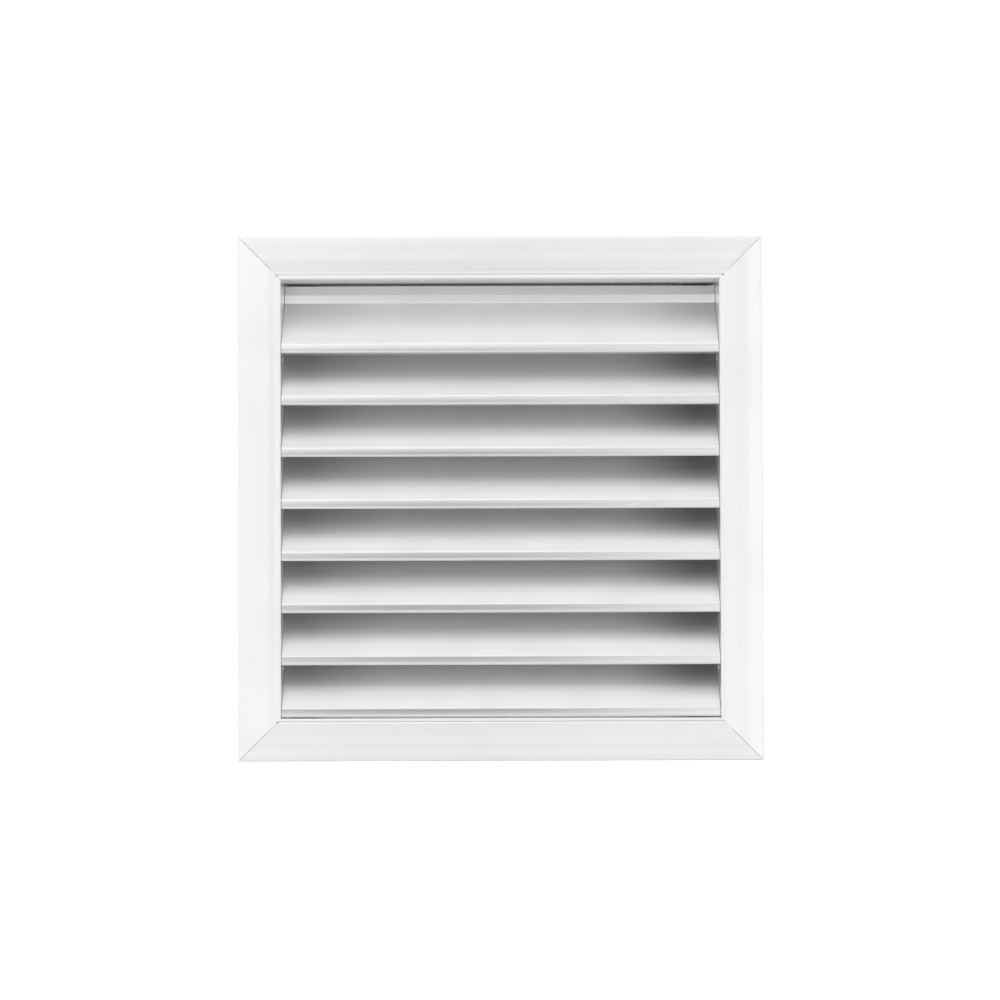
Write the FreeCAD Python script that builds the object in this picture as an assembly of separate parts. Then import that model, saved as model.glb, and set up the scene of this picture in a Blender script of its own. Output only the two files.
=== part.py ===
"""Fixed-blade weather louvre for a 300 x 300 mm wall opening, in satin aluminium.

A mitred frame is keyed together at its corners. Its flange lies on the wall and its neck goes into
the opening. Eight sloping blades hang on two upright carriers behind them, with a small gap all round
to the frame, and a welded wire bird mesh closes the back.

Row frame: X to the right, Y into the wall, Z up, millimetres. The origin is the centre of the wall
opening, on the wall's surface. The flange stands at negative Y, and the neck at positive Y.
"""

import FreeCAD
import Part
import math
import os

Vector = FreeCAD.Vector

# Frame section. "In" is the distance from the outer edge towards the opening.
FACE_SIZE = 350.0        # side of the square face
FACE_WIDTH = 28.5        # width of each member's face
FLANGE_DEPTH = 8.0       # how far the face stands off the wall
EDGE_DEPTH = 7.5         # the same at the outer edge, where the face falls away
FACET_IN = 10.5          # where the falling facet meets the flat part of the face
FACE_WALL = 1.8          # thickness of the face
WEB_WALL = 1.5           # thickness of the neck
NECK_DEPTH = 32.0        # how far the neck goes into the wall
FOOT_THICK = 1.5         # the two feet that stand on the wall and hold the corner keys
OUTER_FOOT_IN = 5.0      # inner edge of the outer foot
INNER_FOOT_IN = 16.5     # outer edge of the inner foot
RIB_IN = 20.0            # outer side of the rib that carries the inner foot
RIB_WALL = 1.4
MITRE_GAP = 0.18         # width of the saw joint between two members

# Blade section, in its own plane: (0, 0) is below the most forward point of the nose.
BLADE_COUNT = 8
BLADE_PITCH = 34.75
BLADE_WALL = 1.3
BLADE_ANGLE = 55.0       # slope above the horizontal, degrees
NOSE_HEIGHT = 6.4        # from the lowest point up to the start of the slope
NOSE_LEAN = 0.75         # how far the start of the slope lies behind the nose
CREASE_HEIGHT = 35.5     # where the slope meets the rear upstand
CREASE_RADIUS = 1.5
BLADE_HEIGHT = 47.5
UPSTAND_LEAN = 1.1       # how far the upstand's top lies behind its foot
NOSE_RIBS = 3            # broad shallow ribs along the front of the nose
NOSE_RIB_RISE = 0.012
NOSE_CROWN = 0.05        # bulge of the nose's front
CHANNEL_MIDDLE = 40.5    # height of the screw channel behind the upstand
CHANNEL_GAP = 3.0
CHANNEL_RIB = 1.2
CHANNEL_DEPTH = 5.5
NOSE_SETBACK = 0.7       # nose behind the front of the face
END_GAP = 0.3            # between a blade's end and the neck
BOTTOM_GAP = 0.7         # between the lowest nose and the neck

# Upright carriers that hold the blades, a flat bar bent back at both ends.
CARRIER_X = 133.35       # midway between two upright wires of the mesh
CARRIER_WIDTH = 20.0
CARRIER_WALL = 3.0
CARRIER_TAB = 9.6        # depth of the bent end, measured over the bar
CARRIER_BEND = 1.0       # inner bend radius

# Welded mesh.
MESH_PITCH = 12.7
WIRE_RADIUS = 0.5
WIRES_EACH_WAY = 23
WIRE_OVERHANG = 2.8      # beyond the last crossing wire
MESH_FIXING_Z = (-120.65, -19.05, 120.65)

# Corner keys and fasteners.
KEY_LEG = 38.0
KEY_CLEARANCE = 0.2      # to each side of the slot
KEY_SCREW_IN = 28.0      # from the key's outer corner along each leg
KEY_SCREW_RADIUS = 2.5
RUNNING_GAP = 0.05       # radial gap of a screw in the hole it fills
WALL_SCREW_RADIUS = 2.25
WALL_SCREW_Y = 6.0
WALL_SCREW_BELOW_NOSE = 3.5
RIVET_RADIUS = 2.0
MESH_SCREW_RADIUS = 2.0
WASHER_RADIUS = 8.0
WASHER_THICK = 1.0

# Worked out from the dimensions above.
HALF = FACE_SIZE / 2
OPENING_HALF = HALF - FACE_WIDTH
FRONT = -FLANGE_DEPTH
FACE_BACK = FRONT + FACE_WALL
NOSE_FRONT = FRONT + NOSE_SETBACK
SLOPE_RISE_PER_MM = math.tan(math.radians(BLADE_ANGLE))
CREASE_Y = NOSE_LEAN + (CREASE_HEIGHT - NOSE_HEIGHT) / SLOPE_RISE_PER_MM
UPSTAND_BACK = CREASE_Y + BLADE_WALL
CHANNEL_FLOOR = UPSTAND_BACK + 0.4
CHANNEL_BACK = CHANNEL_FLOOR + CHANNEL_DEPTH
CARRIER_FRONT = NOSE_FRONT + CHANNEL_BACK
CARRIER_BACK = CARRIER_FRONT + CARRIER_WALL
RIVET_Y = (CARRIER_BACK + CARRIER_BEND + CARRIER_FRONT + CARRIER_TAB) / 2
MESH_BACK = CARRIER_BACK + 4 * WIRE_RADIUS
NOSE_Z = [-OPENING_HALF + BOTTOM_GAP + BLADE_PITCH * step for step in range(BLADE_COUNT)][::-1]
SIDES = (-1, 1)


def outline(place, start, steps):
    """A flat face. Each step is the end (a, b) of a straight line, or ((a, b), (a, b)) for an arc through
    its first point to its second. place turns (a, b) into a point in space."""
    edges = []
    here = start
    for step in steps:
        if isinstance(step[0], tuple):
            middle, end = step
            edges.append(Part.Arc(place(*here), place(*middle), place(*end)).toShape())
        else:
            end = step
            edges.append(Part.makeLine(place(*here), place(*end)))
        here = end
    return Part.Face(Part.Wire(edges))


def rod(start, direction, length, radius, top_radius=None):
    """A cylinder, or a cone where top_radius is given, from start along direction."""
    if top_radius is None:
        return Part.makeCylinder(radius, length, start, direction)
    return Part.makeCone(radius, top_radius, length, start, direction)


def box(low, high):
    size = high - low
    return Part.makeBox(size.x, size.y, size.z, low)


def ribbed(start, end, count, crown, rise):
    """Arcs from start to end that make even ribs on a line crowned to its left-hand side."""
    length = math.dist(start, end)
    along = ((end[0] - start[0]) / length, (end[1] - start[1]) / length)
    outward = (-along[1], along[0])

    def point(share, lift):
        run = length * share
        out = 4 * crown * share * (1 - share) + lift
        return tuple(start[i] + along[i] * run + outward[i] * out for i in (0, 1))

    steps = []
    for number in range(count):
        steps.append((point((number + 0.5) / count, rise), point((number + 1) / count, 0.0)))
    return steps


def frame_section():
    """Section of every frame member, as (in, y): a hollow-backed flange with a ridge, a groove and a bead
    beside the opening, two feet on the wall, and the neck."""
    dip = FACE_WIDTH - 6.8
    ridge = FACE_WIDTH - 3.8
    groove = FACE_WIDTH - 2.6
    bead = FACE_WIDTH - 1.4
    bead_end = FRONT + 0.1
    corner = 0.6
    inner = FACE_WIDTH
    outside = FACE_WIDTH - WEB_WALL
    fillet = 0.5
    share = 1 - math.sqrt(0.5)
    start = (0.0, 0.0)
    steps = [
        (0.0, -EDGE_DEPTH + 0.6),
        ((0.18, -EDGE_DEPTH + 0.16), (0.6, -EDGE_DEPTH - 0.03)),
        (FACET_IN, FRONT),
        (dip, FRONT),
        (ridge - 1.6, FRONT + 0.17),
        ((ridge, FRONT + 0.03), (groove - 0.3, FRONT + 0.2)),
        (groove, FRONT + 0.4),
        (groove + 0.3, FRONT + 0.16),
        ((bead, FRONT + 0.02), (inner - corner, bead_end)),
        ((inner - corner * share, bead_end + corner * share), (inner, bead_end + corner)),
        (inner, NECK_DEPTH),
        (outside, NECK_DEPTH),
        (outside, FACE_BACK + fillet),
        ((outside - fillet * share, FACE_BACK + fillet * share), (outside - fillet, FACE_BACK)),
        (RIB_IN + RIB_WALL, FACE_BACK),
        (RIB_IN + RIB_WALL, 0.0),
        (INNER_FOOT_IN, 0.0),
        (INNER_FOOT_IN, -FOOT_THICK),
        (RIB_IN, -FOOT_THICK),
        (RIB_IN, FACE_BACK),
        (WEB_WALL, FACE_BACK),
        (WEB_WALL, -FOOT_THICK),
        (OUTER_FOOT_IN, -FOOT_THICK),
        (OUTER_FOOT_IN, 0.0),
        start,
    ]
    return outline(lambda a, y: Vector(-HALF, y, HALF - a), start, steps)


def frame_member(turn):
    """The top member, mitred at both ends and turned about Y: 0 top, 90 right, 180 bottom, 270 left."""
    bar = frame_section().extrude(Vector(FACE_SIZE, 0, 0))
    offset = MITRE_GAP / math.sqrt(2)
    reach = HALF + 10
    corners = [(0, offset), (reach, reach + offset), (-reach, reach + offset), (0, offset)]
    wedge = Part.Face(Part.makePolygon([Vector(x, -20, z) for x, z in corners]))
    member = bar.common(wedge.extrude(Vector(0, NECK_DEPTH + 40, 0)))
    member.rotate(Vector(0, 0, 0), Vector(0, 1, 0), turn)
    return member


def side_member(side):
    """A side member, with two holes through its neck for the screws into the wall's lining."""
    member = frame_member(90 if side > 0 else 270)
    for nose in (NOSE_Z[0], NOSE_Z[BLADE_COUNT - 2]):
        start = Vector(side * (OPENING_HALF - 5), WALL_SCREW_Y, nose - WALL_SCREW_BELOW_NOSE)
        member = member.cut(rod(start, Vector(side, 0, 0), 10, WALL_SCREW_RADIUS))
    return member


def end_member(side):
    """The top or bottom member, with a rivet hole for each carrier."""
    member = frame_member(0 if side > 0 else 180)
    for x in (-CARRIER_X, CARRIER_X):
        start = Vector(x, RIVET_Y, side * (OPENING_HALF - 5))
        member = member.cut(rod(start, Vector(0, 0, side), 10, RIVET_RADIUS + RUNNING_GAP))
    return member


def corner_key(side_x, side_z):
    """An L-shaped key that slides into the slots behind two members, with a grub screw hole in each leg."""
    outer = WEB_WALL + KEY_CLEARANCE
    width = RIB_IN - WEB_WALL - 2 * KEY_CLEARANCE
    chamfer = 1.5
    low_y = FACE_BACK + KEY_CLEARANCE / 2
    high_y = -FOOT_THICK - KEY_CLEARANCE / 2
    start = (0.0, 0.0)
    steps = [
        (KEY_LEG - chamfer, 0.0),
        (KEY_LEG, chamfer),
        (KEY_LEG, width - chamfer),
        (KEY_LEG - chamfer, width),
        (width, width),
        (width, KEY_LEG - chamfer),
        (width - chamfer, KEY_LEG),
        (chamfer, KEY_LEG),
        (0.0, KEY_LEG - chamfer),
        start,
    ]

    def place(a, b):
        return Vector(side_x * (HALF - outer - a), low_y, side_z * (HALF - outer - b))

    key = outline(place, start, steps).extrude(Vector(0, high_y - low_y, 0))
    for a, b in ((KEY_SCREW_IN, width / 2), (width / 2, KEY_SCREW_IN)):
        centre = place(a, b)
        key = key.cut(rod(centre - Vector(0, 1, 0), Vector(0, 1, 0), 10, KEY_SCREW_RADIUS))
    return key


def hexagon_socket(centre, across_flats, depth):
    """A hexagonal prism to cut out, entering along -Y at centre."""
    radius = across_flats / math.sqrt(3)
    corners = []
    for step in range(7):
        angle = math.radians(60 * step)
        corners.append(centre + Vector(radius * math.cos(angle), 0.1, radius * math.sin(angle)))
    return Part.Face(Part.makePolygon(corners)).extrude(Vector(0, -depth - 0.1, 0))


def cross_socket(centre, span, width, depth):
    """A cross-shaped recess to cut out, entering along -Y at centre."""
    long_half = span / 2
    short_half = width / 2
    bars = []
    for a, b in ((long_half, short_half), (short_half, long_half)):
        bars.append(box(centre + Vector(-a, -depth, -b), centre + Vector(a, 0.1, b)))
    return bars[0].fuse(bars[1])


def key_grub_screws():
    """Two grub screws in each corner key, which press the key against the feet."""
    outer = WEB_WALL + KEY_CLEARANCE
    width = RIB_IN - WEB_WALL - 2 * KEY_CLEARANCE
    length = -FOOT_THICK - KEY_CLEARANCE - FACE_BACK
    screws = []
    for side_x in SIDES:
        for side_z in SIDES:
            for a, b in ((KEY_SCREW_IN, width / 2), (width / 2, KEY_SCREW_IN)):
                centre = Vector(side_x * (HALF - outer - a), FACE_BACK, side_z * (HALF - outer - b))
                screw = rod(centre, Vector(0, 1, 0), length, KEY_SCREW_RADIUS - RUNNING_GAP)
                screws.append(screw.cut(hexagon_socket(centre + Vector(0, length, 0), 2.5, 2.0)))
    return Part.makeCompound(screws)


def blade_section(nose_z):
    """Section of a blade: a crowned nose with a drip bead below it, the slope, and a rear upstand in two
    steps with a screw channel behind it."""
    angle = math.radians(BLADE_ANGLE)
    along = (math.cos(angle), math.sin(angle))
    under = (NOSE_LEAN + BLADE_WALL * along[1], NOSE_HEIGHT - BLADE_WALL * along[0])
    tangent = CREASE_RADIUS * math.tan((math.pi / 2 - angle) / 2)
    half_turn = (math.pi / 2 - angle) / 2
    crease_centre = (CREASE_Y - CREASE_RADIUS, CREASE_HEIGHT + tangent)
    crease_start = (CREASE_Y - tangent * along[0], CREASE_HEIGHT - tangent * along[1])
    crease_middle = (crease_centre[0] + CREASE_RADIUS * math.cos(half_turn),
                     crease_centre[1] - CREASE_RADIUS * math.sin(half_turn))
    gap_low = CHANNEL_MIDDLE - CHANNEL_GAP / 2
    gap_high = CHANNEL_MIDDLE + CHANNEL_GAP / 2
    knee_z = under[1] + (UPSTAND_BACK - under[0]) * SLOPE_RISE_PER_MM

    nose_foot = (0.2, 1.42)
    nose_top = (0.4, 5.7)
    tip = CREASE_Y + UPSTAND_LEAN

    start = (1.0, 0.0)
    steps = [
        ((0.28, 0.2), (0.0, 0.7)),
        ((0.07, 0.97), (0.3, 1.08)),
        (0.42, 1.24),
        nose_foot,
        *ribbed(nose_foot, nose_top, NOSE_RIBS, NOSE_CROWN, NOSE_RIB_RISE),
        ((0.53, 6.07), (NOSE_LEAN, NOSE_HEIGHT)),
        crease_start,
        (crease_middle, (CREASE_Y, CREASE_HEIGHT + tangent)),
        (CREASE_Y + 0.15, CREASE_HEIGHT + 5.6),
        (CREASE_Y + 0.45, CREASE_HEIGHT + 5.9),
        (CREASE_Y + 0.2, CREASE_HEIGHT + 6.2),
        ((CREASE_Y + 0.05, CREASE_HEIGHT + 6.55), (CREASE_Y + 0.25, CREASE_HEIGHT + 6.9)),
        (tip, BLADE_HEIGHT - 0.6),
        ((tip + 0.6, BLADE_HEIGHT), (tip + 1.2, BLADE_HEIGHT - 0.6)),
        (CHANNEL_FLOOR, gap_high + CHANNEL_RIB + 0.5),
        (CHANNEL_FLOOR, gap_high + CHANNEL_RIB),
        (CHANNEL_BACK, gap_high + CHANNEL_RIB),
        (CHANNEL_BACK, gap_high),
        (CHANNEL_FLOOR, gap_high),
        (CHANNEL_FLOOR, gap_low),
        (CHANNEL_BACK, gap_low),
        (CHANNEL_BACK, gap_low - CHANNEL_RIB),
        (UPSTAND_BACK, gap_low - CHANNEL_RIB),
        (UPSTAND_BACK, knee_z + 0.4),
        ((UPSTAND_BACK - 0.1, knee_z), (UPSTAND_BACK - 0.4 * along[0], knee_z - 0.4 * along[1])),
        (under[0] + 0.6 * along[0], under[1] + 0.6 * along[1]),
        ((under[0] - 0.06, under[1] - 0.3), (1.68, 4.9)),
        (1.6, 1.6),
        ((1.85, 0.75), start),
    ]
    return outline(lambda y, z: Vector(-OPENING_HALF + END_GAP, NOSE_FRONT + y, nose_z + z), start, steps)


def blade(nose_z):
    return blade_section(nose_z).extrude(Vector(2 * (OPENING_HALF - END_GAP), 0, 0))


def carrier(side):
    """An upright bar whose ends are bent back against the neck, with a countersunk hole for each blade and
    a threaded hole for each mesh screw."""
    top = OPENING_HALF
    inner = top - CARRIER_WALL
    outer_bend = CARRIER_BEND + CARRIER_WALL
    tab_back = CARRIER_FRONT + CARRIER_TAB
    share = 1 - math.sqrt(0.5)

    def end_steps(sign):
        outside = [
            (CARRIER_FRONT, sign * (top - outer_bend)),
            ((CARRIER_FRONT + outer_bend * share, sign * (top - outer_bend * share)),
             (CARRIER_FRONT + outer_bend, sign * top)),
            (tab_back, sign * top),
        ]
        inside = [
            (tab_back, sign * inner),
            (CARRIER_BACK + CARRIER_BEND, sign * inner),
            ((CARRIER_BACK + CARRIER_BEND * share, sign * (inner - CARRIER_BEND * share)),
             (CARRIER_BACK, sign * (inner - CARRIER_BEND))),
        ]
        return outside + inside

    start = (CARRIER_FRONT, 0.0)
    lower = [
        (CARRIER_BACK, -(inner - CARRIER_BEND)),
        ((CARRIER_BACK + CARRIER_BEND * share, -(inner - CARRIER_BEND * share)),
         (CARRIER_BACK + CARRIER_BEND, -inner)),
        (tab_back, -inner),
        (tab_back, -top),
        (CARRIER_FRONT + outer_bend, -top),
        ((CARRIER_FRONT + outer_bend * share, -(top - outer_bend * share)),
         (CARRIER_FRONT, -(top - outer_bend))),
        start,
    ]
    low_x = side * CARRIER_X - CARRIER_WIDTH / 2
    face = outline(lambda y, z: Vector(low_x, y, z), start, end_steps(1) + lower)
    bar = face.extrude(Vector(CARRIER_WIDTH, 0, 0))
    back = Vector(0, -1, 0)
    for nose_z in NOSE_Z:
        centre = Vector(side * CARRIER_X, CARRIER_BACK, nose_z + CHANNEL_MIDDLE)
        bar = bar.cut(rod(centre, back, CARRIER_WALL, 2.1))
        bar = bar.cut(rod(centre, back, 1.9, 4.0, 2.1))
    for z in MESH_FIXING_Z:
        centre = Vector(side * CARRIER_X, CARRIER_BACK, z)
        bar = bar.cut(rod(centre, back, CARRIER_WALL, MESH_SCREW_RADIUS))
    for sign in SIDES:
        centre = Vector(side * CARRIER_X, RIVET_Y, sign * (top + 1))
        bar = bar.cut(rod(centre, Vector(0, 0, -sign), 8, RIVET_RADIUS + RUNNING_GAP))
    return bar


def blade_screws():
    """Countersunk screws that hold each blade's screw channel to both carriers."""
    forward = Vector(0, -1, 0)
    core = CHANNEL_GAP / 2 - RUNNING_GAP
    screws = []
    for side in SIDES:
        for nose_z in NOSE_Z:
            head = Vector(side * CARRIER_X, CARRIER_BACK - 0.05, nose_z + CHANNEL_MIDDLE)
            screw = rod(head, forward, 1.8, 3.8, 1.95)
            screw = screw.fuse(rod(head + forward * 1.8, forward, CARRIER_WALL - 1.85, 1.95))
            screw = screw.fuse(rod(head + forward * (CARRIER_WALL - 0.05), forward, 4.2, core))
            screw = screw.fuse(rod(head + forward * (CARRIER_WALL + 4.15), forward, 0.8, core, 0.6))
            screws.append(screw.cut(cross_socket(head, 4.2, 0.9, 1.6)).removeSplitter())
    return Part.makeCompound(screws)


def carrier_rivets():
    """Blind rivets through the neck and each carrier's bent end, with the domed head outside."""
    rivets = []
    for x in (-CARRIER_X, CARRIER_X):
        for sign in SIDES:
            outside = Vector(x, RIVET_Y, sign * (OPENING_HALF + WEB_WALL))
            inward = Vector(0, 0, -sign)
            grip = WEB_WALL + CARRIER_WALL
            rivet = rod(outside, inward, grip, RIVET_RADIUS)
            rivet = rivet.fuse(rod(outside, inward * -1, 0.5, 4.0))
            rivet = rivet.fuse(rod(outside - inward * 0.5, inward * -1, 0.8, 4.0, 2.2))
            rivet = rivet.fuse(rod(outside + inward * grip, inward, 2.0, 3.1))
            rivet = rivet.fuse(rod(outside + inward * (grip + 2.0), inward, 0.6, 3.1, 2.2))
            rivets.append(rivet.removeSplitter())
    return Part.makeCompound(rivets)


def bird_mesh():
    """Upright wires against the carriers and level wires behind them, touching where they are welded."""
    first = -MESH_PITCH * (WIRES_EACH_WAY - 1) / 2
    reach = -first + WIRE_OVERHANG
    front_y = CARRIER_BACK + WIRE_RADIUS
    back_y = front_y + 2 * WIRE_RADIUS
    wires = []
    for step in range(WIRES_EACH_WAY):
        place = first + MESH_PITCH * step
        wires.append(rod(Vector(place, front_y, -reach), Vector(0, 0, 1), 2 * reach, WIRE_RADIUS))
        wires.append(rod(Vector(-reach, back_y, place), Vector(1, 0, 0), 2 * reach, WIRE_RADIUS))
    return Part.makeCompound(wires)


def mesh_fixing_places():
    return [Vector(side * CARRIER_X, MESH_BACK, z) for side in SIDES for z in MESH_FIXING_Z]


def mesh_washers():
    washers = []
    for place in mesh_fixing_places():
        ring = rod(place, Vector(0, 1, 0), WASHER_THICK, WASHER_RADIUS)
        washers.append(ring.cut(rod(place, Vector(0, 1, 0), WASHER_THICK, MESH_SCREW_RADIUS + 0.15)))
    return Part.makeCompound(washers)


def mesh_screws():
    """Button-head screws through the washers and the mesh into the carriers."""
    head_radius = 3.8
    head_height = 2.2
    shank_radius = MESH_SCREW_RADIUS - RUNNING_GAP
    screws = []
    for place in mesh_fixing_places():
        seat = place + Vector(0, WASHER_THICK, 0)
        shank = rod(seat, Vector(0, -1, 0), 7.4, shank_radius)
        tip = rod(seat + Vector(0, -7.4, 0), Vector(0, -1, 0), 0.6, shank_radius, shank_radius - 0.5)
        head = rod(seat, Vector(0, 1, 0), head_height, head_radius)
        arris = max(head.Edges, key=lambda edge: edge.CenterOfMass.y)
        head = head.makeFillet(1.4, [arris])
        screw = head.fuse(shank).fuse(tip)
        screw = screw.cut(hexagon_socket(seat + Vector(0, head_height, 0), 2.5, 1.3))
        screws.append(screw.removeSplitter())
    return Part.makeCompound(screws)


def build():
    """Every node by name."""
    nodes = {
        "frame_top_rail": end_member(1),
        "frame_bottom_rail": end_member(-1),
        "frame_left_stile": side_member(-1),
        "frame_right_stile": side_member(1),
        "corner_key_top_left": corner_key(-1, 1),
        "corner_key_top_right": corner_key(1, 1),
        "corner_key_bottom_left": corner_key(-1, -1),
        "corner_key_bottom_right": corner_key(1, -1),
        "corner_key_grub_screws": key_grub_screws(),
        "blade_carrier_left": carrier(-1),
        "blade_carrier_right": carrier(1),
        "blade_screws": blade_screws(),
        "carrier_rivets": carrier_rivets(),
        "bird_mesh": bird_mesh(),
        "mesh_washers": mesh_washers(),
        "mesh_screws": mesh_screws(),
    }
    for number, nose_z in enumerate(NOSE_Z, start=1):
        nodes[f"louvre_blade_{number}"] = blade(nose_z)
    return nodes


os.makedirs("parts", exist_ok=True)
for name, shape in build().items():
    for solid in shape.Solids:
        if not solid.isValid() or solid.Volume <= 0:
            raise ValueError(f"{name} has a bad solid")
    shape.exportStep(f"parts/{name}.step")
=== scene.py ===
"""Looks for the fixed-blade weather louvre: satin extruded aluminium, welded bird mesh, bright studio.

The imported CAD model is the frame. Its solids stay where they are and get fine bevels and materials. The
bird mesh is rebuilt as drawn wire with weld nuggets, and the blind rivets get their broken stems.
"""

import math
import random

import bmesh
import bpy
from mathutils import Matrix, Vector


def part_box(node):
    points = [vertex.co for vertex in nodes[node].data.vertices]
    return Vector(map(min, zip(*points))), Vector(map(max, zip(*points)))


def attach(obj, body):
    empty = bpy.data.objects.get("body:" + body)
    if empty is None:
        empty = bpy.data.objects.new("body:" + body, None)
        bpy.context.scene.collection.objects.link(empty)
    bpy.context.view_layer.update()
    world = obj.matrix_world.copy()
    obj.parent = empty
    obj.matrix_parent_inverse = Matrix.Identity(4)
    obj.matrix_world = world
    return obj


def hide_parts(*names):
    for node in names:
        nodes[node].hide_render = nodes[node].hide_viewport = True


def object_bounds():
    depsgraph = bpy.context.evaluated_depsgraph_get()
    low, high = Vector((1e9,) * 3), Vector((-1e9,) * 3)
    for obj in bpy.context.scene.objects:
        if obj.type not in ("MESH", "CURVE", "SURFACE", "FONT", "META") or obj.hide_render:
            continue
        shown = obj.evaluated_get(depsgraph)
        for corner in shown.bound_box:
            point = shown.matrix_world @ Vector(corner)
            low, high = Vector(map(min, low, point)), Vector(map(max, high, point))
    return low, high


MM = 0.001
BODY = "root"
FRAME_NODES = ("frame_top_rail", "frame_bottom_rail", "frame_left_stile", "frame_right_stile")
STILE_NODES = ("frame_left_stile", "frame_right_stile")
KEY_NODES = tuple(f"corner_key_{row}_{side}" for row in ("top", "bottom") for side in ("left", "right"))
BLADE_NODES = tuple(f"louvre_blade_{number}" for number in range(1, 9))
CARRIER_NODES = ("blade_carrier_left", "blade_carrier_right")
SCREW_NODES = ("corner_key_grub_screws", "blade_screws", "mesh_washers", "mesh_screws")

# The bird mesh
MESH_PITCH = 12.7 * MM
MESH_WIRES = 23             # each way
WIRE_SHARE = 0.97           # the drawn wire's radius as a share of the CAD wire's
WIRE_STEPS = 92             # rings along a wire
WIRE_WAVE = 31 * MM         # run of a wire per radian of its slow wave
NUGGET_FLATNESS = 0.62

# The blind rivets' broken stems
PIN_RADIUS = 1.1 * MM
BALL_RADIUS = 1.8 * MM
BALL_DEPTH = 1.1 * MM
BALL_REACH = 8.4 * MM       # from a rivet's head back to the ball behind its tail

# The finishes
OXIDE_SKIN = 0.85           # how metallic the mill-finish aluminium is under its oxide
DRAWN_GRAIN = 0.35          # anisotropy of the extrusions
HAZE_ROUGHNESS = 0.36
FINE_BEVEL = 0.08 * MM      # sawn and extruded edges
SOFT_BEVEL = 0.3 * MM       # folded and cast edges
RIVET_BEVEL = 0.1 * MM
SHARP_EDGE = math.radians(40)
GROOVE_IN = 25.9 * MM       # from the frame's outer edge to the groove beside the bead
# a dark brown for the dirt in the frame's joints and for the painted shadows of the mesh wires on the blades
DIRT_AND_SHADE = (0.16, 0.14, 0.12, 1.0)
SPECK = (0.36, 0.35, 0.33, 1.0)
BARE_ZINC = (0.66, 0.68, 0.69, 1.0)
DULL_ZINC = (0.47, 0.49, 0.51, 1.0)

# The camera: a long lens just below the middle of the face, looking a touch upwards
CAMERA_PLACE = (-0.0018, -1.2295, -0.0208)
CAMERA_TURN = (-0.069, 0.915, -0.172)   # yaw, pitch and roll in degrees
LENS_LENGTH = 65.95                     # mm, on a sensor of SENSOR_WIDTH
SENSOR_WIDTH = 36.0

BACKDROP_LEVEL = 1.02       # what the camera sees behind the grille
FLOOR_DROP = 0.25           # metres from the grille to the floor

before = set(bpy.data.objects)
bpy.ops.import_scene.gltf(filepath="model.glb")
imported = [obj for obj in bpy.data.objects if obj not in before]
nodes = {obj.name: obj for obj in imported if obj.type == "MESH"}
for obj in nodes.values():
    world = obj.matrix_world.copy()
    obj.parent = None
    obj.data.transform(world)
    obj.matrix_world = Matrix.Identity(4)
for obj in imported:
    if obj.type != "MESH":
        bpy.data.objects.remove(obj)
cad_low, cad_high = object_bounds()


class Shader:
    """A small helper that adds and joins shader nodes in one tree."""

    def __init__(self, tree):
        self.tree = tree
        tree.nodes.clear()

    def add(self, kind, settings=None, **inputs):
        """A node of a kind with properties from settings. Inputs are named as in Blender, lower case with
        underscores, and each may be a value or another node's output."""
        node = self.tree.nodes.new(kind)
        for name, value in (settings or {}).items():
            setattr(node, name, value)
        for name, value in inputs.items():
            self.join(value, self.socket(node, name))
        return node

    def socket(self, node, name):
        wanted = name.replace("_", " ").lower()
        for socket in node.inputs:
            if socket.enabled and socket.name.lower() == wanted:
                return socket
        raise KeyError(f"{node.bl_idname} has no input {name}")

    def join(self, value, socket):
        if isinstance(value, bpy.types.NodeSocket):
            self.tree.links.new(value, socket)
        else:
            socket.default_value = value

    def math(self, operation, a, b=0.0, c=0.0):
        node = self.add("ShaderNodeMath", {"operation": operation})
        for value, socket in zip((a, b, c), node.inputs):
            if socket.enabled:
                self.join(value, socket)
        return node.outputs[0]

    def product(self, *factors):
        total = factors[0]
        for factor in factors[1:]:
            total = self.math("MULTIPLY", total, factor)
        return total

    def squares(self, a, b):
        """a squared plus b squared."""
        return self.math("ADD", self.product(a, a), self.product(b, b))

    def ranged(self, value, low, high, to_low, to_high, smooth=False):
        """value carried from the range low..high to to_low..to_high, and held at the ends."""
        kind = "SMOOTHSTEP" if smooth else "LINEAR"
        node = self.add("ShaderNodeMapRange", {"interpolation_type": kind, "clamp": True}, value=value)
        for name, number in (("From Min", low), ("From Max", high), ("To Min", to_low), ("To Max", to_high)):
            node.inputs[name].default_value = number
        return node.outputs["Result"]

    def axes(self, vector):
        """The x, y and z of a vector."""
        return self.add("ShaderNodeSeparateXYZ", vector=vector).outputs

    def position(self):
        """x, y and z in the row frame, in metres."""
        return self.axes(self.add("ShaderNodeTexCoord").outputs["Object"])

    def place(self, scale=(1, 1, 1), offset=(0.0, 0.0, 0.0)):
        """Row-frame position in metres times scale, plus offset."""
        where = self.add("ShaderNodeTexCoord").outputs["Object"]
        node = self.add("ShaderNodeMapping", vector=where, scale=scale, location=offset)
        return node.outputs[0]

    def noise(self, vector, scale=1.0, detail=2.0):
        node = self.add("ShaderNodeTexNoise", vector=vector, scale=scale, detail=detail, roughness=0.5)
        return node.outputs["Fac"]

    def mixed(self, factor, a, b):
        """Colour a at factor 0, b at factor 1."""
        node = self.add("ShaderNodeMix", {"data_type": "RGBA"})
        self.join(factor, node.inputs[0])
        self.join(a, node.inputs[6])
        self.join(b, node.inputs[7])
        return node.outputs[2]

    def red(self, color):
        return self.add("ShaderNodeSeparateColor", color=color).outputs[0]

    def bump(self, height, distance, normal=None):
        """Normals bent by a height from 0 to 1, over a distance in metres."""
        node = self.add("ShaderNodeBump", height=height, distance=distance, strength=1.0)
        if normal is not None:
            self.join(normal, node.inputs["Normal"])
        return node.outputs[0]


def material(name):
    made = bpy.data.materials.new(name)
    made.use_nodes = True
    return made, Shader(made.node_tree)


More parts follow.
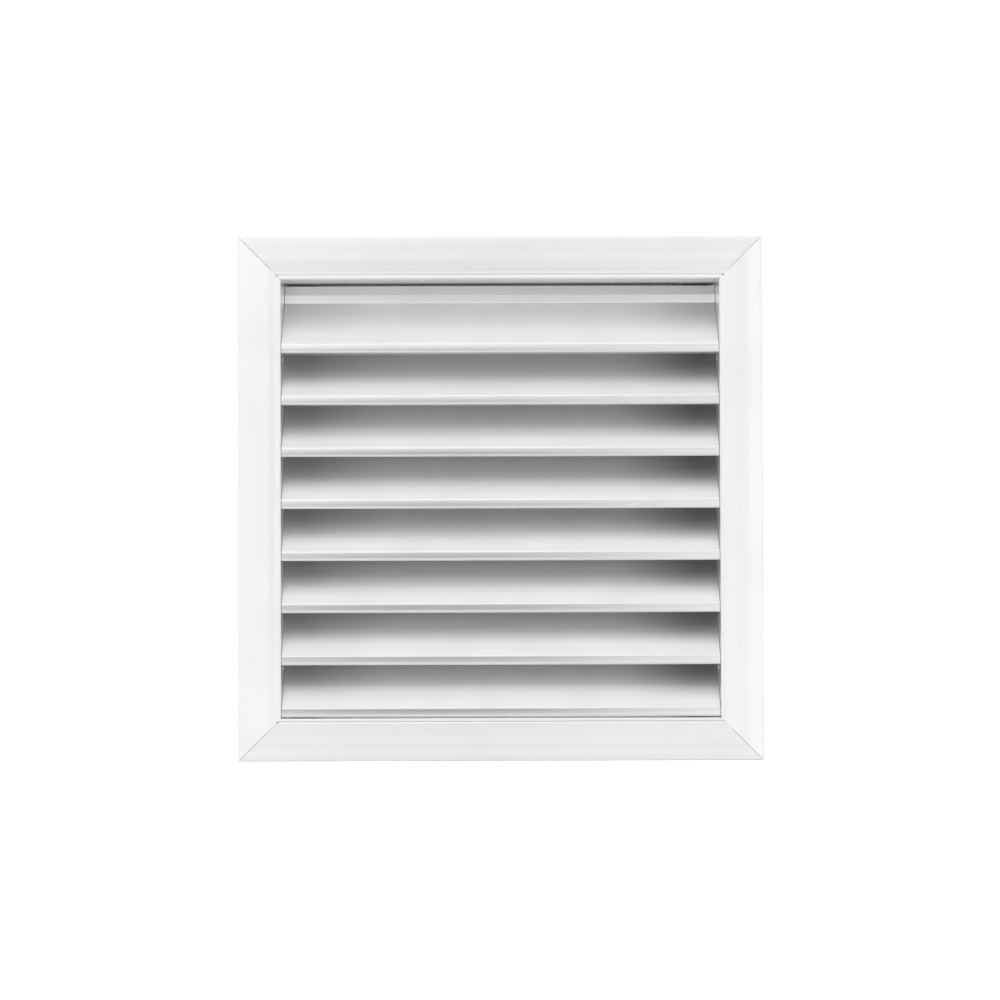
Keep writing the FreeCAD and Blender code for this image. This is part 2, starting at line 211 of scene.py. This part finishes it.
def shade(color, share):
    """A colour darkened to a share of itself."""
    return tuple(channel * share for channel in color[:3]) + (1.0,)


def metal(shader, color, roughness, normal, anisotropy=0.0, along=None, metallic=1.0, haze=0.0):
    """The metal's surface and the tree's output. metallic below 1 is a matt oxide skin, and haze is the
    share of the light that scatters widely round the sharper reflection."""

    def lobe(spread):
        surface = shader.add("ShaderNodeBsdfPrincipled", metallic=metallic, base_color=color,
                             roughness=spread, normal=normal)
        if anisotropy:
            tangent = shader.add("ShaderNodeTangent", {"direction_type": "RADIAL", "axis": along})
            surface.inputs["Anisotropic"].default_value = anisotropy
            shader.join(tangent.outputs[0], surface.inputs["Tangent"])
        return surface.outputs[0]

    surface = lobe(roughness)
    if haze:
        mix = shader.add("ShaderNodeMixShader", fac=haze)
        shader.join(surface, mix.inputs[1])
        shader.join(lobe(shader.math("MAXIMUM", roughness, HAZE_ROUGHNESS)), mix.inputs[2])
        surface = mix.outputs[0]
    shader.add("ShaderNodeOutputMaterial", surface=surface)


def speck_mask(shader, seed, density, radius):
    """1 inside small round specks, else 0. density is the number of cells in a metre, and nearly half of
    them hold a speck."""
    where = shader.place(offset=(seed, seed, seed))
    cells = shader.add("ShaderNodeTexVoronoi", vector=where, scale=density)
    edge = radius * density
    near = shader.ranged(cells.outputs["Distance"], edge * 0.5, edge, 1.0, 0.0)
    keep = shader.math("GREATER_THAN", shader.red(cells.outputs["Color"]), 0.55)
    return shader.product(near, keep)


def scratch_mask(shader, seed, angle, length, spacing):
    """1 on thin straight scratches at an angle across the face, in broken lengths, else 0."""
    where = shader.add("ShaderNodeTexCoord").outputs["Object"]
    turned = shader.add("ShaderNodeMapping", vector=where, rotation=(0, angle, 0),
                        location=(seed, seed * 0.7, seed * 1.3)).outputs[0]
    stretched = shader.add("ShaderNodeMapping", vector=turned,
                           scale=(1 / length, 1 / spacing, 1 / spacing)).outputs[0]
    lines = shader.noise(stretched, detail=1.0)
    rarity = 0.775
    return shader.ranged(lines, rarity, rarity + 0.01, 0.0, 1.0)


def joint_grime(shader):
    """1 in the dirt along the sawn mitres and where they cross the groove, else 0. One corner is cleaner."""
    x, _, z = shader.position()
    across = shader.math("ABSOLUTE", x)
    up = shader.math("ABSOLUTE", z)

    off_mitre = shader.math("ABSOLUTE", shader.math("SUBTRACT", across, up))
    lumps = shader.noise(shader.place(), scale=420.0, detail=3.0)
    line = shader.product(shader.ranged(off_mitre, 0.12 * MM, 0.40 * MM, 0.75, 0.0),
                          shader.ranged(lumps, 0.45, 0.62, 0.0, 1.0))

    groove = cad_high.x - GROOVE_IN
    off_x = shader.math("SUBTRACT", across, groove)
    off_z = shader.math("SUBTRACT", up, groove)
    off_crossing = shader.math("SQRT", shader.squares(off_x, off_z))
    spot = shader.ranged(off_crossing, 0.35 * MM, 0.95 * MM, 1.0, 0.0)

    at_right = shader.math("GREATER_THAN", x, 0.0)
    at_bottom = shader.math("LESS_THAN", z, 0.0)
    left_over = shader.ranged(shader.product(at_right, at_bottom), 0.0, 1.0, 1.0, 0.25)
    return shader.product(shader.math("MAXIMUM", line, spot), left_over)


def painted_wire_shadows(shader):
    """1 on painted shadows of the mesh wires, small dark marks at the mesh's pitch along the top blade's
    upper edge, towards the right.
    """
    x, _, z = shader.position()
    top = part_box("louvre_blade_1")[1].z
    off_wire = shader.math("PINGPONG", shader.math("DIVIDE", x, MESH_PITCH), 0.5)
    at_wire = shader.ranged(off_wire, 0.02, 0.09, 1.0, 0.0)
    at_edge = shader.ranged(z, top - 1.5 * MM, top - 0.4 * MM, 0.0, 1.0)
    at_right = shader.ranged(x, 75 * MM, 120 * MM, 0.0, 1.0)
    lumps = shader.noise(shader.place(), scale=900.0)
    return shader.product(at_wire, at_edge, at_right, shader.ranged(lumps, 0.35, 0.6, 0.4, 1.0))


def end_painted_shade(shader, upward):
    """Up to 1 in the painted shade on the blades' upper faces, deep in the corners beside the frame, else 0.
    upward is the normal's z. The right end is shaded more, and the top blade, which lies open, is shaded
    less."""
    x, y, z = shader.position()
    right = shader.ranged(x, 72 * MM, 140 * MM, 0.0, 1.0, smooth=True)
    left = shader.ranged(x, -138 * MM, -68 * MM, 0.50, 0.0, smooth=True)
    deep = shader.product(shader.ranged(y, -3 * MM, 8 * MM, 0.0, 1.0),
                          shader.ranged(upward, 0.10, 0.35, 0.0, 1.0))
    top_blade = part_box("louvre_blade_1")[0].z
    open_top = shader.ranged(z, top_blade, top_blade + 2 * MM, 1.0, 0.55)
    return shader.product(shader.math("ADD", left, right), shader.product(deep, open_top))


def extruded_aluminium(name, along, color, roughness, seed, upward_roughness=None, grime_and_shade=joint_grime,
                       haze=0.0):
    """Mill-finish extrusion: broad die lines along one axis, faint bands, handling marks, specks and
    scratches. upward_roughness is for faces that look up, which also get painted shade at their ends. The
    mask of dark marks is dirt along the frame's joints, and painted shadows of the mesh wires on the blades;
    haze is as in metal()."""
    made, shader = material(name)
    axis = "XYZ".index(along)

    def streaks(width, offset, detail):
        """Noise that hardly changes along the extrusion and has a width across it."""
        length = 4.0
        scale = [1 / width] * 3
        scale[axis] = 1 / length
        return shader.noise(shader.place(scale, (offset, offset * 1.7, offset * 0.6)), detail=detail)

    lines = streaks(3 * MM, seed + 3.1, 0.0)
    bands = streaks(7 * MM, seed + 7.7, 1.0)
    clouds = shader.noise(shader.place(offset=(seed, 2.0, seed)), scale=22.0, detail=1.0)
    specks = speck_mask(shader, seed + 1.3, density=95.0, radius=0.45 * MM)
    scratches = shader.math("MAXIMUM",
                            scratch_mask(shader, seed, angle=0.6, length=14 * MM, spacing=0.35 * MM),
                            scratch_mask(shader, seed + 5.0, angle=-0.9, length=9 * MM, spacing=0.3 * MM))
    dirt_and_shade = grime_and_shade(shader)

    dull, stained, end_shade = 0.94, 0.86, 0.48     # shares of the full colour; the last is the painted shade in the blades' end corners
    paint = shader.mixed(shader.ranged(bands, 0.35, 0.65, 0.0, 1.0), shade(color, dull), color)
    stain = shader.ranged(clouds, 0.42, 0.70, 0.0, 0.25, smooth=True)
    paint = shader.mixed(stain, paint, shade(color, stained))
    paint = shader.mixed(shader.product(specks, 0.55), paint, SPECK)
    # dark marks: dirt at the frame's joints, painted shadows of the mesh wires on the blades
    paint = shader.mixed(shader.product(dirt_and_shade, 0.85), paint, DIRT_AND_SHADE)

    band_swing, cloud_swing = 0.02, 0.05
    gloss = shader.ranged(bands, 0.3, 0.7, roughness - band_swing, roughness + band_swing)
    if upward_roughness is not None:
        normal = shader.add("ShaderNodeNewGeometry").outputs["Normal"]
        upward = shader.axes(normal)[2]
        # painted shade: the blades' upper faces darken deep in the corners at their ends
        paint = shader.mixed(end_painted_shade(shader, upward), paint, shade(color, end_shade))
        extra = shader.ranged(upward, 0.30, 0.50, 0.0, upward_roughness - roughness)
        gloss = shader.math("ADD", gloss, extra)
    gloss = shader.math("SUBTRACT", gloss, cloud_swing / 2)
    for mask, change in ((clouds, cloud_swing), (scratches, -0.06), (dirt_and_shade, 0.3)):
        gloss = shader.math("MULTIPLY_ADD", mask, change, gloss)

    normal = shader.bump(lines, 0.008 * MM)
    normal = shader.bump(scratches, -0.004 * MM, normal)
    metal(shader, paint, gloss, normal, DRAWN_GRAIN, along, OXIDE_SKIN, haze)
    return made


def plain_metal(name, color, roughness, grain, grain_depth, seed):
    """Metal with an even grain, such as tumbled bar, die casting or turned steel. Sizes are in metres."""
    made, shader = material(name)
    grains = shader.noise(shader.place(offset=(seed, seed, seed)), scale=1 / grain, detail=3.0)
    clouds = shader.noise(shader.place(offset=(seed, 0.4, 1.0)), scale=60.0, detail=3.0)
    worn = shader.ranged(clouds, 0.35, 0.65, 0.0, 1.0)
    paint = shader.mixed(worn, shade(color, 0.88), color)
    gloss = shader.ranged(grains, 0.3, 0.7, roughness - 0.05, roughness + 0.06)
    metal(shader, paint, gloss, shader.bump(grains, grain_depth))
    return made


def zinc_wire(name):
    """Hot-dip galvanised wire: crystal patches, dull runs and a slightly lumpy coat."""
    made, shader = material(name)
    cells = shader.add("ShaderNodeTexVoronoi", vector=shader.place(), scale=700.0)
    patch = shader.red(cells.outputs["Color"])
    lumps = shader.noise(shader.place(), scale=900.0, detail=3.0)
    paint = shader.mixed(patch, DULL_ZINC, BARE_ZINC)
    gloss = shader.ranged(patch, 0.0, 1.0, 0.32, 0.52)
    metal(shader, paint, gloss, shader.bump(lumps, 0.03 * MM))
    return made


def finish_solid(name, look, bevel_width):
    """A CAD solid with its sharp edges broken by a small bevel, and a material."""
    node = nodes[name]
    mesh = node.data
    if "custom_normal" in mesh.attributes:
        mesh.attributes.remove(mesh.attributes["custom_normal"])
    for face in mesh.polygons:
        face.use_smooth = True
    mesh.materials.clear()
    mesh.materials.append(look)
    weld = node.modifiers.new("weld", "WELD")
    weld.merge_threshold = 0.001 * MM
    flat = node.modifiers.new("flat", "DECIMATE")
    flat.decimate_type = "DISSOLVE"
    flat.angle_limit = math.radians(0.3)
    bevel = node.modifiers.new("bevel", "BEVEL")
    bevel.width = bevel_width
    bevel.segments = 2
    bevel.limit_method = "ANGLE"
    bevel.angle_limit = SHARP_EDGE
    bevel.use_clamp_overlap = True
    normals = node.modifiers.new("normals", "WEIGHTED_NORMAL")
    normals.keep_sharp = True


class Builder:
    """Collects points and faces, and makes one mesh object from them."""

    def __init__(self):
        self.points = []
        self.faces = []

    def ring(self, centre, across, up, radius, sides):
        """Adds a ring of points and returns their numbers."""
        start = len(self.points)
        for step in range(sides):
            angle = 2 * math.pi * step / sides
            self.points.append(centre + (across * math.cos(angle) + up * math.sin(angle)) * radius)
        return list(range(start, start + sides))

    def skin(self, rings):
        """Joins rings of equal size into a tube and closes both ends."""
        for first, second in zip(rings, rings[1:]):
            for step in range(len(first)):
                after = (step + 1) % len(first)
                self.faces.append((first[step], first[after], second[after], second[step]))
        self.faces.append(tuple(reversed(rings[0])))
        self.faces.append(tuple(rings[-1]))

    def piece(self, name, look, smooth_angle):
        """The mesh object, riding on the body. Edges sharper than smooth_angle degrees stay crisp."""
        mesh = bpy.data.meshes.new(name)
        mesh.from_pydata(self.points, [], self.faces)
        bm = bmesh.new()
        bm.from_mesh(mesh)
        bmesh.ops.recalc_face_normals(bm, faces=bm.faces)
        bm.to_mesh(mesh)
        bm.free()
        for face in mesh.polygons:
            face.use_smooth = True
        mesh.set_sharp_from_angle(angle=math.radians(smooth_angle))
        mesh.materials.append(look)
        made = bpy.data.objects.new(name, mesh)
        bpy.context.scene.collection.objects.link(made)
        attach(made, BODY)
        return made


def wire(build, points, radius):
    """A closed wire through points that run nearly straight."""
    direction = (points[-1] - points[0]).normalized()
    across = direction.orthogonal().normalized()
    up = direction.cross(across)
    build.skin([build.ring(point, across, up, radius, sides=10) for point in points])


def nugget(build, centre, radius):
    """A rounded blob of weld, flattened along Y."""
    across, up = Vector((1, 0, 0)), Vector((0, 0, 1))
    rings = []
    for tilt in range(-75, 76, 25):
        turn = math.radians(tilt)
        height = Vector((0, radius * NUGGET_FLATNESS * math.sin(turn), 0))
        rings.append(build.ring(centre + height, across, up, radius * math.cos(turn), sides=12))
    build.skin(rings)


def bird_mesh(look):
    """Drawn wires in two layers, each a little wavy, with a flattened weld nugget at every crossing."""
    low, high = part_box("bird_mesh")
    radius = (high.y - low.y) / 4
    reach = (high.x - low.x) / 2
    middle = (low.y + high.y) / 2
    places = [MESH_PITCH * (step - (MESH_WIRES - 1) / 2) for step in range(MESH_WIRES)]
    draw = random.Random(12)
    build = Builder()
    for layer, y in (("upright", low.y + radius), ("level", high.y - radius)):
        for place in places:
            phase = draw.uniform(0, 2 * math.pi)
            swing = draw.uniform(0.02, 0.10) * MM
            points = []
            for number in range(WIRE_STEPS + 1):
                run = -reach + 2 * reach * number / WIRE_STEPS
                side = place + swing * math.sin(run / WIRE_WAVE + phase)
                points.append(Vector((side, y, run)) if layer == "upright" else Vector((run, y, side)))
            wire(build, points, radius * WIRE_SHARE)
    for x in places:
        for z in places:
            size = draw.uniform(0.62, 0.78) * MM
            nudge = Vector((draw.uniform(-0.1, 0.1), 0, draw.uniform(-0.1, 0.1))) * MM
            nugget(build, Vector((x, middle, z)) + nudge, size)
    piece = build.piece("bird_mesh_welded", look, smooth_angle=60)
    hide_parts("bird_mesh")


def rivet_stems(look):
    """The broken stem in each blind rivet: a pin end in the domed head and a ball behind the set tail."""
    low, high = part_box("carrier_rivets")
    head_radius = (high.y - low.y) / 2
    across, forward = Vector((1, 0, 0)), Vector((0, 1, 0))
    sides = 20
    pin_end = ((-0.5 * MM, PIN_RADIUS), (0.12 * MM, PIN_RADIUS), (0.22 * MM, PIN_RADIUS - 0.12 * MM))
    build = Builder()
    for x in (low.x + head_radius, high.x - head_radius):
        for side, outer in ((-1, low.z), (1, high.z)):
            head = Vector((x, low.y + head_radius, outer))
            outward = Vector((0, 0, side))
            build.skin([build.ring(head + outward * lift, across, forward, radius, sides)
                        for lift, radius in pin_end])
            tail = head - outward * BALL_REACH
            ball = []
            for tilt in range(0, 81, 20):
                turn = math.radians(tilt)
                centre = tail - outward * (BALL_DEPTH * math.sin(turn))
                ball.append(build.ring(centre, across, forward, BALL_RADIUS * math.cos(turn), sides))
            build.skin(ball)
    piece = build.piece("rivet_stems", look, smooth_angle=35)


def place_camera():
    lens = bpy.data.cameras.new("camera")
    lens.sensor_width = SENSOR_WIDTH
    lens.lens = LENS_LENGTH
    camera = bpy.data.objects.new("camera", lens)
    bpy.context.scene.collection.objects.link(camera)
    camera.location = CAMERA_PLACE
    yaw, pitch, roll = (math.radians(angle) for angle in CAMERA_TURN)
    level = math.pi / 2
    turn = Matrix.Rotation(yaw, 4, "Z") @ Matrix.Rotation(level + pitch, 4, "X")
    turn = turn @ Matrix.Rotation(roll, 4, "Z")
    camera.rotation_mode = "QUATERNION"
    camera.rotation_quaternion = turn.to_quaternion()
    bpy.context.scene.camera = camera


def world_light():
    """White all round for the camera. The metal sees a bright room that has soft dark patches in front and
    a dark strip behind the grille. Places in it are directions, as parts of a vector of length 1."""
    world = bpy.data.worlds.new("studio")
    world.use_nodes = True
    bpy.context.scene.world = world
    shader = Shader(world.node_tree)
    x, y, z = shader.axes(shader.add("ShaderNodeTexCoord").outputs["Generated"])
    sideways = shader.math("ABSOLUTE", x)

    def patch(centre_x, centre_z, wide, tall, depth):
        """depth at a direction in front of the grille, fading out round it to 0."""
        across = shader.math("DIVIDE", shader.math("SUBTRACT", x, centre_x), wide)
        up = shader.math("DIVIDE", shader.math("SUBTRACT", z, centre_z), tall)
        bell = shader.math("EXPONENT", shader.product(shader.squares(across, up), -1.0))
        in_front = shader.ranged(y, -0.15, 0.15, 1.0, 0.0)
        return shader.product(bell, in_front, depth)

    def blended(share, level):
        """level where share is 1, and no change where it is 0."""
        return shader.math("MULTIPLY_ADD", share, shader.math("SUBTRACT", level, 1.0), 1.0)

    room = shader.ranged(z, 0.3, 0.9, 0.88, 0.96)
    front = shader.ranged(y, -1.0, -0.3, 0.34, 0.0, smooth=True)
    room = shader.math("ADD", room, front)
    photographer = patch(-0.035, 0.032, wide=0.125, tall=0.135, depth=1.45)
    floor_ahead = patch(0.08, -0.58, wide=0.42, tall=0.22, depth=1.12)
    upper_right = patch(0.14, 0.25, wide=0.16, tall=0.10, depth=0.60)
    dark = shader.math("ADD", shader.math("ADD", photographer, floor_ahead), upper_right)
    darkest = 0.02
    room = shader.math("MAXIMUM", shader.math("SUBTRACT", room, dark), darkest)

    to_side = shader.ranged(sideways, 0.38, 0.72, 0.0, 1.0, smooth=True)
    beside = shader.ranged(z, -0.45, 0.0, 0.45, 0.85)

    strip = shader.product(shader.ranged(sideways, 0.42, 0.80, 1.0, 0.0, smooth=True),
                           shader.ranged(y, -0.05, 0.30, 0.0, 1.0, smooth=True),
                           shader.ranged(z, 0.25, 0.75, 1.0, 0.0, smooth=True))
    off_middle = shader.math("ABSOLUTE", shader.math("ADD", x, 0.01))
    behind = shader.product(shader.ranged(z, -0.12, 0.14, 0.01, 0.38, smooth=True),
                            shader.ranged(off_middle, 0.03, 0.13, 1.0, 0.0, smooth=True))

    level = shader.product(room, blended(to_side, beside), blended(strip, behind))
    seen = shader.add("ShaderNodeLightPath").outputs["Is Camera Ray"]
    strength = shader.add("ShaderNodeMix", {"data_type": "FLOAT"})
    shader.join(seen, strength.inputs[0])
    shader.join(level, strength.inputs[2])
    shader.join(BACKDROP_LEVEL, strength.inputs[3])
    glow = shader.add("ShaderNodeBackground", color=(1.0, 1.0, 1.0, 1.0), strength=strength.outputs[0])
    shader.add("ShaderNodeOutputWorld", surface=glow.outputs[0])


def floor():
    """A pale floor a little below the grille. The metal doesn't see it: the world stands for it there."""
    made, shader = material("floor_paint")
    clouds = shader.noise(shader.place(), scale=3.0, detail=3.0)
    paint = shader.mixed(clouds, (0.90, 0.90, 0.90, 1.0), (0.93, 0.93, 0.93, 1.0))
    surface = shader.add("ShaderNodeBsdfPrincipled", base_color=paint, roughness=0.8)
    surface.inputs["Emission Color"].default_value = (1.0, 1.0, 1.0, 1.0)
    surface.inputs["Emission Strength"].default_value = 0.4
    shader.add("ShaderNodeOutputMaterial", surface=surface.outputs[0])
    bm = bmesh.new()
    bmesh.ops.create_grid(bm, x_segments=2, y_segments=2, size=6.0)
    mesh = bpy.data.meshes.new("floor")
    bm.to_mesh(mesh)
    bm.free()
    mesh.materials.append(made)
    plane = bpy.data.objects.new("floor", mesh)
    plane.location.z = cad_low.z - FLOOR_DROP
    plane.visible_glossy = False
    plane.visible_shadow = False
    bpy.context.scene.collection.objects.link(plane)


def softbox(name, place, target, size, power):
    light = bpy.data.lights.new(name, "AREA")
    light.shape = "RECTANGLE"
    light.size, light.size_y = size
    light.energy = power
    lamp = bpy.data.objects.new(name, light)
    lamp.location = place
    lamp.rotation_mode = "QUATERNION"
    lamp.rotation_quaternion = (Vector(target) - Vector(place)).to_track_quat("-Z", "Y")
    bpy.context.scene.collection.objects.link(lamp)


white = (0.955, 0.962, 0.958, 1.0)
# painted shade: the rails are the same aluminium as the stiles, given a darker colour because they catch
# less light
rail_shaded_white = (0.925, 0.937, 0.933, 1.0)
silver = (0.870, 0.884, 0.876, 1.0)
rail_look = extruded_aluminium("rail_aluminium", "X", rail_shaded_white, roughness=0.34, seed=2.0)
stile_look = extruded_aluminium("stile_aluminium", "Z", white, roughness=0.35, seed=11.0)
blade_look = extruded_aluminium("blade_aluminium", "X", silver, roughness=0.16, seed=23.0,
                                upward_roughness=0.36, grime_and_shade=painted_wire_shadows, haze=0.3)
carrier_look = plain_metal("carrier_aluminium", (0.80, 0.81, 0.81, 1.0), roughness=0.36,
                           grain=0.5 * MM, grain_depth=0.01 * MM, seed=3.0)
key_look = plain_metal("key_casting", (0.62, 0.63, 0.64, 1.0), roughness=0.55,
                       grain=0.4 * MM, grain_depth=0.04 * MM, seed=5.0)
rivet_look = plain_metal("rivet_aluminium", (0.86, 0.87, 0.87, 1.0), roughness=0.28,
                         grain=0.3 * MM, grain_depth=0.01 * MM, seed=7.0)
screw_look = plain_metal("stainless_steel", (0.66, 0.65, 0.63, 1.0), roughness=0.26,
                         grain=0.25 * MM, grain_depth=0.008 * MM, seed=9.0)

for name in FRAME_NODES:
    finish_solid(name, stile_look if name in STILE_NODES else rail_look, FINE_BEVEL)
for name in BLADE_NODES:
    finish_solid(name, blade_look, FINE_BEVEL)
for name in CARRIER_NODES:
    finish_solid(name, carrier_look, SOFT_BEVEL)
for name in KEY_NODES:
    finish_solid(name, key_look, SOFT_BEVEL)
finish_solid("carrier_rivets", rivet_look, RIVET_BEVEL)
rivet_stems(screw_look)
for name in SCREW_NODES:
    finish_solid(name, screw_look, FINE_BEVEL)
bird_mesh(zinc_wire("galvanised_wire"))

floor()
world_light()
softbox("overhead", place=(0.0, -0.5, 1.6), target=(0.0, 0.0, 0.0), size=(1.6, 1.2), power=0.5)
place_camera()
bpy.context.scene.view_settings.view_transform = "Standard"
